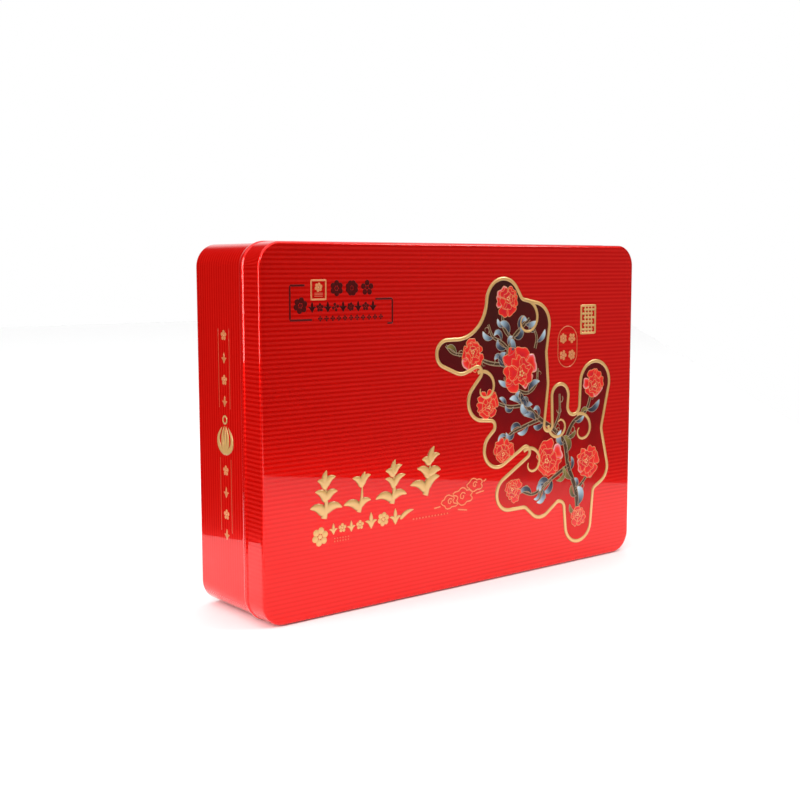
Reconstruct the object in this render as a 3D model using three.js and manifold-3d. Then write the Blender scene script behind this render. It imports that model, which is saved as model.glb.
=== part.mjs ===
// A lithographed tea tin: a shallow slip lid over a wrapped body with a seamed bottom plate.
// Millimetres. X is the long side, Y the depth from the lid (-Y) to the bottom plate (+Y), Z is up.
// The tin stands on one long side, so the origin is on that side, under the middle of the tin.

import * as THREE from "three";
import { mergeVertices } from "three/addons/utils/BufferGeometryUtils.js";
import Module from "manifold-3d";

const wasm = await Module();
wasm.setup();

// Driving dimensions.
const LENGTH = 235; // over the lid, along X
const HEIGHT = 166; // over the lid, along Z
const DEPTH = 54.4; // from the embossed cartouche to the back of the body
const CORNER_RADIUS = 11.25; // outside of the lid
const SHEET = 0.3; // tinplate
const LID_DEPTH = 14; // lid face to lid rim
const LID_BEND = 1.2; // outside radius between the lid's face and skirt
const LID_HEM = 2.5; // length of rim folded flat inwards
const LID_CLEARANCE = 0.3; // between the lid's hem and the body
const LID_HEADROOM = 0.4; // between the lid's face and the body's rolled edge
const CARTOUCHE_HEIGHT = 0.4; // embossed out of the lid's face
const ROLL_DIAMETER = 2; // body's rolled front edge
const ROLL_TURN = (250 * Math.PI) / 180;
const BEAD_HEIGHT = 0.35; // ridge round the body just behind the lid's rim
const BEAD_WIDTH = 2.4;
const BEAD_BEHIND_LID = 0.4;
const SEAM_GAP = 0.2; // between the layers of the bottom seam
const SEAM_DEPTH = 2.4; // length of body edge folded in over the bottom plate's flange
const PLATE_RECESS = 2.7; // back of the body to the bottom plate
const PLATE_BEND = 0.7;
const GROOVE_DEPTH = 0.5; // stiffening groove round the bottom plate
const GROOVE_WIDTH = 2.4;
const GROOVE_INSET = 5.5; // from the corner's centre
const SIDE_SEAM_WIDTH = 4; // lock seam inside the long side that the tin stands on
const SIDE_SEAM_THICKNESS = 0.9;
const CORNER_STEPS = 8;

// Levels along Y and corner radii that follow from them.
const BACK = DEPTH / 2;
const FACE = -BACK + CARTOUCHE_HEIGHT;
const LID_RIM = FACE + LID_DEPTH;
const WALL_FRONT = FACE + SHEET + LID_HEADROOM;
const WALL_RADIUS = CORNER_RADIUS - 2 * SHEET - LID_CLEARANCE;
const PLATE_BACK = BACK - PLATE_RECESS;
const CENTRE_X = LENGTH / 2 - CORNER_RADIUS;
const CENTRE_Z = HEIGHT / 2 - CORNER_RADIUS;

// Outline of the embossed cloud cartouche: a belt drawn round pegs, anticlockwise seen from the
// front, each [x, z, radius]. The belt turns left round a peg, or right where its radius is negative.
const CLOUD_PEGS = [
  [22, 138, 11],
  [-8, 139.5, -19],
  [-14, 114, 6.5],
  [-5, 113, 9],
  [5, 104, -3],
  [9, 90, 9.5],
  [14, 77, -3],
  [19, 65.5, 9],
  [38, 62, -3],
  [27, 42.5, 8.5],
  [37, 31, -3],
  [49, 36, 8.5],
  [62.5, 30, -4],
  [77, 20.5, 9.5],
  [91, 36, -3],
  [90, 49, 9],
  [102, 70, -8],
  [88.5, 94.5, 11],
  [72.5, 83, -4.5],
  [62.5, 89, 6],
  [54, 74.5, -3],
  [42.5, 96, 11],
  [56, 112, -4],
  [43, 126, 11],
  [36.5, 141.5, -3],
];
const BELT_STEPS = 3; // half the straight steps round each peg

// Points along an arc about a centre in a section: [r, y] from angle a to angle b.
function arc(r, y, radius, a, b, steps) {
  return Array.from({ length: steps + 1 }, (_, i) => {
    const angle = a + ((b - a) * i) / steps;
    return [r + radius * Math.cos(angle), y + radius * Math.sin(angle)];
  });
}

// Points of a rounded ridge across a straight stretch at radius r, centred on y.
// A positive height bulges outwards in r.
function ridge(r, y, height, width, steps) {
  return Array.from({ length: steps + 1 }, (_, i) => {
    const t = i / steps;
    return [r + (height * (1 - Math.cos(2 * Math.PI * t))) / 2, y + width * (t - 0.5)];
  });
}

const reversed = (points) => [...points].reverse();
const swapped = (points) => points.map(([a, b]) => [b, a]);

// Carries a section round the rounded rectangle that all the pieces share. The section's points
// are [r, y], with r measured from a corner's centre. A lathe turns the section once; each quarter
// of the turn then moves out to its own corner, and the faces between two quarters stretch into
// the straight sides. Points on the axis stay in the middle, so that such a section is a plate.
function carryRound(section) {
  const points = section.map(([r, y]) => new THREE.Vector2(r, y));
  const stepsPerQuarter = CORNER_STEPS + 1;
  const turns = 4 * stepsPerQuarter;
  const geometry = new THREE.LatheGeometry(points, turns);
  const position = geometry.attributes.position;
  for (let turn = 0; turn <= turns; turn++) {
    const quarter = Math.floor((turn % turns) / stepsPerQuarter);
    const step = (turn % turns) % stepsPerQuarter;
    const angle = ((quarter + step / CORNER_STEPS) * Math.PI) / 2;
    const sideX = quarter < 2 ? 1 : -1;
    const sideZ = quarter === 0 || quarter === 3 ? 1 : -1;
    points.forEach(({ x: r, y }, i) => {
      const out = r > 0 ? 1 : 0;
      position.setXYZ(
        turn * points.length + i,
        out * sideX * CENTRE_X + r * Math.sin(angle),
        y,
        out * sideZ * CENTRE_Z + r * Math.cos(angle),
      );
    });
  }
  return geometry;
}

// The belt leaves one peg for the next along the line that touches both. Returns the direction,
// to the right of travel, in which it touches them: its angle in the plane of the face.
function touchAngle([ax, az, aRadius], [bx, bz, bRadius]) {
  const heading = Math.atan2(bz - az, bx - ax);
  return heading - Math.acos((aRadius - bRadius) / Math.hypot(bx - ax, bz - az));
}

function cloudShape() {
  const shape = new THREE.Shape();
  CLOUD_PEGS.forEach((peg, i) => {
    const [x, z, radius] = peg;
    const side = radius < 0 ? Math.PI : 0;
    const from = touchAngle(CLOUD_PEGS.at(i - 1), peg) + side;
    const to = touchAngle(peg, CLOUD_PEGS[(i + 1) % CLOUD_PEGS.length]) + side;
    shape.absarc(x, z, Math.abs(radius), from, to, radius < 0);
  });
  return shape;
}

function solidOf(geometry) {
  const bare = geometry.index ? geometry.toNonIndexed() : geometry.clone();
  bare.deleteAttribute("normal");
  bare.deleteAttribute("uv");
  const merged = mergeVertices(bare, 1e-3);
  const mesh = new wasm.Mesh({
    numProp: 3,
    vertProperties: new Float32Array(merged.attributes.position.array),
    triVerts: new Uint32Array(merged.index.array),
  });
  return new wasm.Manifold(mesh);
}

function joined(...geometries) {
  const solid = geometries.map(solidOf).reduce((sum, next) => sum.add(next));
  const mesh = solid.getMesh();
  const geometry = new THREE.BufferGeometry();
  geometry.setAttribute("position", new THREE.BufferAttribute(mesh.vertProperties, 3));
  geometry.setIndex(new THREE.BufferAttribute(mesh.triVerts, 1));
  geometry.computeVertexNormals();
  return geometry;
}

// The lid is drawn from one sheet: face, bend, skirt, and a rim folded flat inwards.
function lidGeometry() {
  const quarter = Math.PI / 2;
  const bendRadius = CORNER_RADIUS - LID_BEND;
  const bendLevel = FACE + LID_BEND;
  const foldRadius = CORNER_RADIUS - SHEET;
  const sheetAndHem = carryRound([
    [0, FACE],
    ...arc(bendRadius, bendLevel, LID_BEND, -quarter, 0, 5),
    ...arc(foldRadius, LID_RIM - SHEET, SHEET, 0, 2 * quarter, 4),
    [CORNER_RADIUS - 2 * SHEET, LID_RIM - LID_HEM],
    [CORNER_RADIUS - SHEET, LID_RIM - LID_HEM],
    ...arc(bendRadius, bendLevel, LID_BEND - SHEET, 0, -quarter, 4),
    [0, FACE + SHEET],
  ]);
  const rootInSheet = SHEET / 3;
  const cartouche = new THREE.ExtrudeGeometry(cloudShape(), {
    depth: CARTOUCHE_HEIGHT + rootInSheet,
    bevelEnabled: false,
    curveSegments: BELT_STEPS,
  });
  // The outline is drawn in X and Y, and stands up into X and Z with its depth towards -Y.
  cartouche.rotateX(quarter);
  cartouche.translate(0, FACE + rootInSheet, -HEIGHT / 2);
  return joined(sheetAndHem, cartouche);
}

// The body is one sheet wrapped round and lock-seamed. Its front edge is rolled inwards, a bead
// runs round it behind the lid, and its back edge folds in over the bottom plate's flange.
function bodyWallGeometry() {
  const innerRadius = WALL_RADIUS - SHEET;
  const rollOuter = ROLL_DIAMETER / 2;
  const rollRadius = WALL_RADIUS - rollOuter;
  const rollLevel = WALL_FRONT + rollOuter;
  const beadLevel = LID_RIM + BEAD_BEHIND_LID + BEAD_WIDTH / 2;
  const foldOuter = (3 * SHEET) / 2 + SEAM_GAP;
  const foldRadius = WALL_RADIUS - foldOuter;
  const foldLevel = BACK - foldOuter;
  const leafEnd = BACK - SEAM_DEPTH;
  const wall = carryRound([
    ...ridge(WALL_RADIUS, beadLevel, BEAD_HEIGHT, BEAD_WIDTH, 6),
    ...arc(foldRadius, foldLevel, foldOuter, 0, Math.PI, 6),
    [WALL_RADIUS - 2 * foldOuter, leafEnd],
    [WALL_RADIUS - 2 * foldOuter + SHEET, leafEnd],
    ...arc(foldRadius, foldLevel, foldOuter - SHEET, Math.PI, 0, 4),
    ...reversed(ridge(innerRadius, beadLevel, BEAD_HEIGHT, BEAD_WIDTH, 6)),
    ...arc(rollRadius, rollLevel, rollOuter - SHEET, 0, -ROLL_TURN, 8),
    ...arc(rollRadius, rollLevel, rollOuter, -ROLL_TURN, 0, 8),
    [WALL_RADIUS, beadLevel - BEAD_WIDTH / 2],
  ]);
  const seamFront = WALL_FRONT + ROLL_DIAMETER + LID_CLEARANCE;
  const seamBack = PLATE_BACK - SHEET - GROOVE_DEPTH - LID_CLEARANCE;
  const rootInSheet = SHEET / 3;
  const sideSeam = new THREE.BoxGeometry(
    SIDE_SEAM_WIDTH,
    seamBack - seamFront,
    SIDE_SEAM_THICKNESS + rootInSheet,
  );
  const seamBase = -CENTRE_Z - innerRadius - rootInSheet;
  sideSeam.translate(
    0,
    (seamFront + seamBack) / 2,
    seamBase + (SIDE_SEAM_THICKNESS + rootInSheet) / 2,
  );
  return joined(wall, sideSeam);
}

// The bottom plate is a shallow pressing: a flat panel with a stiffening groove, and a flange
// turned back into the body's seam.
function bottomPlateGeometry() {
  const quarter = Math.PI / 2;
  const flangeOuter = WALL_RADIUS - SHEET - SEAM_GAP;
  const flangeInner = flangeOuter - SHEET;
  const flangeEnd = BACK - (3 * SHEET) / 2 - SEAM_GAP;
  const plateFront = PLATE_BACK - SHEET;
  const groove = (level) =>
    swapped(ridge(level, GROOVE_INSET, -GROOVE_DEPTH, GROOVE_WIDTH, 6));
  return carryRound([
    [0, plateFront],
    ...groove(plateFront),
    ...arc(flangeOuter - PLATE_BEND, plateFront + PLATE_BEND, PLATE_BEND, -quarter, 0, 3),
    [flangeOuter, flangeEnd],
    [flangeInner, flangeEnd],
    ...arc(flangeInner - PLATE_BEND + SHEET, PLATE_BACK + PLATE_BEND - SHEET,
      PLATE_BEND - SHEET, 0, -quarter, 3),
    ...reversed(groove(PLATE_BACK)),
    [0, PLATE_BACK],
  ]);
}

const redLitho = new THREE.MeshStandardMaterial({ color: 0xc01712, roughness: 0.32, metalness: 0.6 });
const bareTinplate = new THREE.MeshStandardMaterial({ color: 0xc9ccd0, roughness: 0.35, metalness: 1 });

function piece(name, geometry, material) {
  const mesh = new THREE.Mesh(geometry, material);
  mesh.name = name;
  return mesh;
}

const body = new THREE.Group();
body.add(
  piece("body_wall", bodyWallGeometry(), redLitho),
  piece("bottom_plate", bottomPlateGeometry(), bareTinplate),
);

const tin = new THREE.Group();
tin.add(body, piece("lid", lidGeometry(), redLitho));
tin.position.z = HEIGHT / 2;

export default tin;
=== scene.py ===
"""A lithographed tea tin: slip lid, wrapped body, seamed bottom plate and raised printed ornament.

Shapes are worked out in millimetres and stored in metres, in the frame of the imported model.
"""

import math

import bmesh
import bpy
import numpy as np
from mathutils import Matrix, Vector


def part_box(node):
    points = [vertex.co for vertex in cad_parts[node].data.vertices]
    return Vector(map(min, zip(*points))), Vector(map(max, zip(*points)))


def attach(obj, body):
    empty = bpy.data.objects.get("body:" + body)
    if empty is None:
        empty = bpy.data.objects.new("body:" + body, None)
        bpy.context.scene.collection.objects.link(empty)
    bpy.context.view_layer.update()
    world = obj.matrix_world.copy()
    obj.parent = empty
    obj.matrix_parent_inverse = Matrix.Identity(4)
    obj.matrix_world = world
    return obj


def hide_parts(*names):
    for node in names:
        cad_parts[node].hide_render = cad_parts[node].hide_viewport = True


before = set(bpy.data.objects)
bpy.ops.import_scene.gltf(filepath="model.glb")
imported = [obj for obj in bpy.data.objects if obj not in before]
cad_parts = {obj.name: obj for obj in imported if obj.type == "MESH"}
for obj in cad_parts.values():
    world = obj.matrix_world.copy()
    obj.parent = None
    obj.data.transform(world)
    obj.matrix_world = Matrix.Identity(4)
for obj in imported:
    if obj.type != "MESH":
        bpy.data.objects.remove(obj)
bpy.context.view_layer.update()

# ---------------------------------------------------------------- sizes, in millimetres
MM = 0.001
LID_LOW, LID_HIGH = (np.array(corner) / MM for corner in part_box("lid"))
BODY_HIGH = np.array(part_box("body_wall")[1]) / MM

CORNER_RADIUS = 11.25
SHEET = 0.3
RELIEF = 0.4  # height of the embossing on the lid's face
LID_BEND = 1.2
RIM_RISE = 0.4  # how far the lid's rolled rim stands proud of its skirt
RIM_FLARE = 0.9
RIM_FLAT = 0.55
RIM_ROLL = 0.43
LID_CLEARANCE = 0.3
LID_HEADROOM = 0.4
ROLL_RADIUS = 1.0
ROLL_TURN = math.radians(250)
BEAD_HEIGHT = 0.2  # kept low: a taller bead's shoulder would mirror a second bright line
BEAD_WIDTH = 2.4
BEAD_BEHIND_LID = 0.4
SEAM_GAP = 0.2
SEAM_DEPTH = 2.4
PLATE_RECESS = 2.7
PLATE_BEND = 0.7
GROOVE_DEPTH = 0.5
GROOVE_WIDTH = 2.4
GROOVE_INSET = 5.5
SIDE_SEAM_WIDTH = 4.0
SIDE_SEAM_THICKNESS = 0.9
LINE_PITCH = 2.0  # of the printed lines
CORNER_STEPS = 20
SHEET_CREASE = 50  # degrees: edges of the sheets that are sharper stay crisp
PRINT_CREASE = 40
CEILING = 1.66  # brightness of the ceiling over the table

FACE = LID_LOW[1] + RELIEF
BACK = BODY_HIGH[1]
LID_RIM = LID_HIGH[1]
MIDDLE_Z = (LID_LOW[2] + LID_HIGH[2]) / 2
CENTRE_X = LID_HIGH[0] - CORNER_RADIUS
CENTRE_Z = LID_HIGH[2] - MIDDLE_Z - CORNER_RADIUS
WALL_RADIUS = CORNER_RADIUS - 2 * SHEET - LID_CLEARANCE
WALL_X = CENTRE_X + WALL_RADIUS
QUARTER = math.pi / 2


# ---------------------------------------------------------------- sections
def arc(r, y, radius, start, end, steps):
    """Points (r, y) at the given radius round a centre, from one angle to another."""
    angle = np.linspace(start, end, steps + 1)
    return np.column_stack([r + radius * np.cos(angle), y + radius * np.sin(angle)])


def ridge(r, y, height, width, steps):
    """A rounded ridge: height times half of one minus the cosine, over one full turn of width."""
    t = np.linspace(0, 1, steps + 1)
    bulge = height * (1 - np.cos(2 * np.pi * t)) / 2
    return np.column_stack([r + bulge, y + width * (t - 0.5)])


def section(*stretches):
    """Joins stretches of (r, y) points. Returns the points and, for each, its stretch's number."""
    points = np.vstack([np.atleast_2d(stretch) for stretch in stretches])
    owner = np.repeat(np.arange(len(stretches)), [len(np.atleast_2d(s)) for s in stretches])
    return points, owner


def round_stations(dents=()):
    """Stations round the rounded rectangle: (centre x, centre z, direction x, direction z, dent).

    Each quarter turns by equal angles about its own corner's centre. The straight sides are the
    gaps between quarters. dents adds stations (x, depth) along the side that the tin stands on.
    """
    angle = np.linspace(0, QUARTER, CORNER_STEPS + 1)
    rows = []
    for quarter in range(4):
        turn = angle + quarter * QUARTER
        side_x = 1 if quarter < 2 else -1
        side_z = 1 if quarter in (0, 3) else -1
        centre = np.tile([side_x * CENTRE_X, side_z * CENTRE_Z], (len(turn), 1))
        rows.append(np.column_stack([centre, np.sin(turn), np.cos(turn), np.zeros(len(turn))]))
        if quarter == 1:
            for x, depth in sorted(dents, reverse=True):
                rows.append(np.array([[x, -CENTRE_Z, 0.0, -1.0, depth]]))
    return np.vstack(rows)


def carried_round(points, stations):
    """A section carried round the stations: centre + (r - dent) * direction, at the section's y.

    Points on the axis (r = 0) all go to the middle, where they close the plate.
    """
    r, y = points[None, :, 0], points[None, :, 1]
    on_axis = r == 0
    reach = np.where(on_axis, 0, r - stations[:, 4:5])
    x = np.where(on_axis, 0, stations[:, 0:1] + reach * stations[:, 2:3])
    z = np.where(on_axis, 0, stations[:, 1:2] + reach * stations[:, 3:4])
    return np.stack([x, np.broadcast_to(y, x.shape), z + MIDDLE_Z], axis=-1)


# ---------------------------------------------------------------- meshes
class Shell:
    """Collects closed grids of points into one mesh, with a tone and a material for each.

    A shell of ornament has the wall that it is printed on.
    """

    def __init__(self, wall=None):
        self.wall = wall
        self.points, self.quads, self.tones, self.kinds = [], [], [], []
        self.count = 0

    def add(self, grid, wrap_rows=False, wrap_columns=True, tone=0.0, kind=0):
        """Adds a grid of rows x columns points. kind is a number, or one number per column."""
        rows, columns = grid.shape[:2]
        row_ends = np.arange(rows if wrap_rows else rows - 1)
        column_ends = np.arange(columns if wrap_columns else columns - 1)
        i, j = np.meshgrid(row_ends, column_ends, indexing="ij")
        a, b = i * columns + j, ((i + 1) % rows) * columns + j
        c = ((i + 1) % rows) * columns + (j + 1) % columns
        d = i * columns + (j + 1) % columns
        quads = np.stack([a, b, c, d], axis=-1).reshape(-1, 4)
        flat = grid.reshape(-1, 3)
        if signed_volume(flat, quads) < 0:
            quads = quads[:, ::-1]
        kinds = np.broadcast_to(np.asarray(kind), (columns,))[j].reshape(-1)
        self.points.append(flat)
        self.quads.append(quads + self.count)
        self.tones.append(np.broadcast_to(tone, (rows, columns)).reshape(-1))
        self.kinds.append(kinds)
        self.count += len(flat)


def signed_volume(points, quads):
    """A sixth of the sum of a . (b x c) over the faces: positive where the faces point outwards."""
    p = points - points.mean(axis=0)
    a, b, c, d = (p[quads[:, k]] for k in range(4))
    return (np.einsum("ij,ij->", a, np.cross(b, c)) + np.einsum("ij,ij->", a, np.cross(c, d))) / 6


def finished_mesh(name, points, faces, materials, kinds=None, tones=None, sheet=None):
    """Stores points (mm) and faces as a smooth mesh object at the origin, with poles closed."""
    mesh = bpy.data.meshes.new(name)
    mesh.from_pydata((points * MM).tolist(), [], [tuple(map(int, face)) for face in faces])
    if tones is not None:
        values = tones.astype(np.float32)
        mesh.attributes.new("tone", "FLOAT", "POINT").data.foreach_set("value", values)
    if sheet is not None:
        values = (sheet * (MM, MM, 1)).astype(np.float32).ravel()
        mesh.attributes.new("sheet", "FLOAT_VECTOR", "POINT").data.foreach_set("vector", values)
    for material in materials:
        mesh.materials.append(material)
    if kinds is not None:
        mesh.polygons.foreach_set("material_index", np.asarray(kinds, np.int32))
    mesh.polygons.foreach_set("use_smooth", np.ones(len(mesh.polygons), bool))
    work = bmesh.new()
    work.from_mesh(mesh)
    bmesh.ops.remove_doubles(work, verts=work.verts, dist=1e-7)
    bmesh.ops.dissolve_degenerate(work, dist=1e-8, edges=work.edges)
    work.to_mesh(mesh)
    work.free()
    piece = bpy.data.objects.new(name, mesh)
    bpy.context.scene.collection.objects.link(piece)
    return piece


def shell_piece(name, shell, materials, body):
    """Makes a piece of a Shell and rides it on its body."""
    piece = finished_mesh(
        name,
        np.vstack(shell.points),
        np.vstack(shell.quads),
        materials,
        kinds=np.concatenate(shell.kinds),
        tones=np.concatenate(shell.tones),
    )
    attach(piece, body)
    return piece


def sharpened(piece, degrees):
    """Keeps edges sharper than the given angle crisp, and shades the rest smoothly."""
    piece.data.set_sharp_from_angle(angle=math.radians(degrees))


# ---------------------------------------------------------------- node groups and materials
def new_group(name, inputs, outputs):
    group = bpy.data.node_groups.new(name, "ShaderNodeTree")
    for label, kind, default in inputs:
        socket = group.interface.new_socket(label, in_out="INPUT", socket_type=kind)
        if default is not None:
            socket.default_value = default
    for label, kind in outputs:
        group.interface.new_socket(label, in_out="OUTPUT", socket_type=kind)
    return group, group.nodes.new("NodeGroupInput"), group.nodes.new("NodeGroupOutput")


def math_node(tree, operation, *values, clamp=False):
    node = tree.nodes.new("ShaderNodeMath")
    node.operation = operation
    node.use_clamp = clamp
    for socket, value in zip(node.inputs, values):
        if isinstance(value, (int, float)):
            socket.default_value = value
        else:
            tree.links.new(value, socket)
    return node.outputs[0]


def noise_node(tree, vector, scale, detail=2.0, dimensions="3D"):
    node = tree.nodes.new("ShaderNodeTexNoise")
    node.noise_dimensions = dimensions
    node.inputs["Scale"].default_value = scale
    node.inputs["Detail"].default_value = detail
    if dimensions == "1D":
        tree.links.new(vector, node.inputs["W"])
    else:
        tree.links.new(vector, node.inputs["Vector"])
    return node.outputs["Fac"]


def mixed_colour(tree, factor, first, second):
    node = tree.nodes.new("ShaderNodeMix")
    node.data_type = "RGBA"
    tree.links.new(factor, node.inputs["Factor"])
    node.inputs["A"].default_value = (*first, 1)
    node.inputs["B"].default_value = (*second, 1)
    return node.outputs["Result"]


def ramp(tree, factor, *stops):
    """A colour ramp of (position, (r, g, b)) stops."""
    node = tree.nodes.new("ShaderNodeValToRGB")
    elements = node.color_ramp.elements
    while len(elements) < len(stops):
        elements.new(0.5)
    for element, (position, colour) in zip(elements, stops):
        element.position = position
        element.color = (*colour, 1)
    tree.links.new(factor, node.inputs["Fac"])
    return node.outputs["Color"]


def build_line_group():
    """Printed lines: 1 - smoothstep of the distance from a line's middle, in shares of the pitch.

    Smear blends them into an even tone. Each line also has an ink strength of its own, which
    drifts along it.
    """
    group, given, result = new_group(
        "Printed lines",
        [
            ("Across", "NodeSocketFloat", 0.0),
            ("Vector", "NodeSocketVector", None),
            ("Pitch", "NodeSocketFloat", LINE_PITCH * MM),
            ("Inner", "NodeSocketFloat", 0.14),
            ("Outer", "NodeSocketFloat", 0.36),
            ("Smear", "NodeSocketFloat", 0.0),
        ],
        [("Line", "NodeSocketFloat"), ("Strength", "NodeSocketFloat")],
    )
    count = math_node(group, "DIVIDE", given.outputs["Across"], given.outputs["Pitch"])
    number = math_node(group, "ROUND", count)
    away = math_node(group, "ABSOLUTE", math_node(group, "SUBTRACT", count, number))
    fall = group.nodes.new("ShaderNodeMapRange")
    fall.interpolation_type = "SMOOTHSTEP"
    group.links.new(away, fall.inputs["Value"])
    group.links.new(given.outputs["Inner"], fall.inputs["From Min"])
    group.links.new(given.outputs["Outer"], fall.inputs["From Max"])
    fall.inputs["To Min"].default_value = 1
    fall.inputs["To Max"].default_value = 0
    own = noise_node(group, number, 0.73, 1.0, "1D")
    drift = noise_node(group, given.outputs["Vector"], 22.0, 2.0)
    half_own = math_node(group, "MULTIPLY", own, 0.5)
    strength = math_node(group, "MULTIPLY_ADD", drift, 0.5, half_own)
    kept = math_node(group, "SUBTRACT", 1.0, given.outputs["Smear"])
    smeared = math_node(group, "MULTIPLY", given.outputs["Smear"], 0.6)
    line = math_node(group, "MULTIPLY_ADD", fall.outputs["Result"], kept, smeared)
    group.links.new(line, result.inputs["Line"])
    group.links.new(strength, result.inputs["Strength"])
    return group


def build_skin_group():
    """The slight unflatness of a pressed sheet and the fine peel of its varnish, in millimetres."""
    group, given, result = new_group(
        "Sheet skin",
        [
            ("Vector", "NodeSocketVector", None),
            ("Waviness", "NodeSocketFloat", 0.2),
            ("Peel", "NodeSocketFloat", 0.001),
        ],
        [("Height", "NodeSocketFloat"), ("Mottle", "NodeSocketFloat")],
    )
    waves = noise_node(group, given.outputs["Vector"], 18.0, 1.0)
    peel = noise_node(group, given.outputs["Vector"], 900.0, 2.0)
    mottle = noise_node(group, given.outputs["Vector"], 60.0, 3.0)
    slow = math_node(group, "MULTIPLY", waves, given.outputs["Waviness"])
    fine = math_node(group, "MULTIPLY", peel, given.outputs["Peel"])
    group.links.new(math_node(group, "ADD", slow, fine), result.inputs["Height"])
    group.links.new(mottle, result.inputs["Mottle"])
    return group


LINES = build_line_group()
SKIN = build_skin_group()


def new_material(name, **constants):
    """A Principled material with the given constant sockets, and its Object coordinates."""
    material = bpy.data.materials.new(name)
    material.use_nodes = True
    tree = material.node_tree
    shader = tree.nodes["Principled BSDF"]
    for label, value in constants.items():
        shader.inputs[label.replace("_", " ")].default_value = value
    place = tree.nodes.new("ShaderNodeTexCoord").outputs["Object"]
    return material, tree, shader, place


def placed_group(tree, group, vector, **values):
    node = tree.nodes.new("ShaderNodeGroup")
    node.node_tree = group
    tree.links.new(vector, node.inputs["Vector"])
    for label, value in values.items():
        if isinstance(value, (int, float)):
            node.inputs[label].default_value = value
        else:
            tree.links.new(value, node.inputs[label])
    return node.outputs


def finish_surface(tree, shader, rough, height):
    """Links the roughness, and tilts the shading by a height in millimetres."""
    tree.links.new(rough, shader.inputs["Roughness"])
    node = tree.nodes.new("ShaderNodeBump")
    node.inputs["Distance"].default_value = MM
    node.inputs["Strength"].default_value = 1.0
    tree.links.new(height, node.inputs["Height"])
    tree.links.new(node.outputs["Normal"], shader.inputs["Normal"])


RED_LIGHT = (0.765, 0.0120, 0.0085)  # the paler, hazier lines
RED_DEEP = (0.825, 0.0045, 0.0020)  # the clear, deep ones between them
CLEAR_METALLIC = 0.52  # how metallic the clear lines are
LEAST_HAZE, HAZE_RANGE = 0.08, 0.16  # how much less metallic a hazy line is, by its strength
LINE_RELIEF = 0.006  # thickness of a hazy line's ink


def red_litho(name, axis, from_sheet):
    """Glossy red over tinplate: hazy lines of ink alternate with clear ones that mirror more."""
    material, tree, shader, place = new_material(
        name, Coat_Weight=1.0, Coat_Roughness=0.03, Coat_IOR=1.37, Specular_IOR_Level=0.0
    )
    source = place
    if from_sheet:
        attribute = tree.nodes.new("ShaderNodeAttribute")
        attribute.attribute_name = "sheet"
        source = attribute.outputs["Vector"]
    split = tree.nodes.new("ShaderNodeSeparateXYZ")
    tree.links.new(source, split.inputs[0])
    smear = split.outputs["Z"] if from_sheet else 0.0
    lines = placed_group(tree, LINES, place, Across=split.outputs[axis], Smear=smear)
    skin = placed_group(tree, SKIN, place, Waviness=0.15, Peel=0.0006)
    colour = mixed_colour(tree, lines["Line"], RED_DEEP, RED_LIGHT)
    tree.links.new(colour, shader.inputs["Base Color"])
    haze = math_node(tree, "MULTIPLY_ADD", lines["Strength"], HAZE_RANGE, LEAST_HAZE)
    haze = math_node(tree, "MULTIPLY", lines["Line"], haze)
    tree.links.new(math_node(tree, "SUBTRACT", CLEAR_METALLIC, haze), shader.inputs["Metallic"])
    rough = math_node(tree, "MULTIPLY_ADD", skin["Mottle"], 0.05, 0.16)
    rough = math_node(tree, "MULTIPLY_ADD", lines["Line"], 0.06, rough)
    height = math_node(tree, "MULTIPLY_ADD", lines["Line"], LINE_RELIEF, skin["Height"])
    finish_surface(tree, shader, rough, height)
    return material


ROLLING_GRAIN = 0.006  # height of the grain that rolling leaves in the sheet


def bare_tinplate(name):
    """Bright tinplate: grey metal with a faint rolling grain along X and soft blotches."""
    material, tree, shader, place = new_material(name, Metallic=1.0, Specular_IOR_Level=0.5)
    grain = tree.nodes.new("ShaderNodeMapping")
    grain.inputs["Scale"].default_value = (8, 600, 600)
    tree.links.new(place, grain.inputs["Vector"])
    streak = noise_node(tree, grain.outputs["Vector"], 1.0, 3.0)
    skin = placed_group(tree, SKIN, place, Waviness=0.2, Peel=0.004)
    mottle = math_node(tree, "MULTIPLY", skin["Mottle"], 0.4)
    blotch = math_node(tree, "MULTIPLY_ADD", streak, 0.6, mottle)
    colour = ramp(tree, blotch, (0.3, (0.54, 0.54, 0.52)), (0.7, (0.66, 0.66, 0.64)))
    tree.links.new(colour, shader.inputs["Base Color"])
    rough = math_node(tree, "MULTIPLY_ADD", blotch, 0.3, 0.17)
    height = math_node(tree, "MULTIPLY_ADD", streak, ROLLING_GRAIN, skin["Height"])
    finish_surface(tree, shader, rough, height)
    return material


def printed_ink(name, stops, metallic, roughness, coat=1.0, drift=0.12):
    """Ink whose colour runs along a ramp of the piece's own tone, with a little mottling."""
    material, tree, shader, place = new_material(
        name,
        Metallic=metallic,
        Coat_Weight=coat,
        Coat_Roughness=0.05,
        Coat_IOR=1.39,
        Specular_IOR_Level=0.4 * coat,
    )
    tone = tree.nodes.new("ShaderNodeAttribute")
    tone.attribute_name = "tone"
    skin = placed_group(tree, SKIN, place, Waviness=0.1, Peel=0.004)
    stray = math_node(tree, "MULTIPLY_ADD", skin["Mottle"], drift, -drift / 2)
    factor = math_node(tree, "ADD", tone.outputs["Fac"], stray, clamp=True)
    tree.links.new(ramp(tree, factor, *stops), shader.inputs["Base Color"])
    rough = math_node(tree, "MULTIPLY_ADD", skin["Mottle"], 0.08, roughness)
    finish_surface(tree, shader, rough, skin["Height"])
    return material


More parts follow.
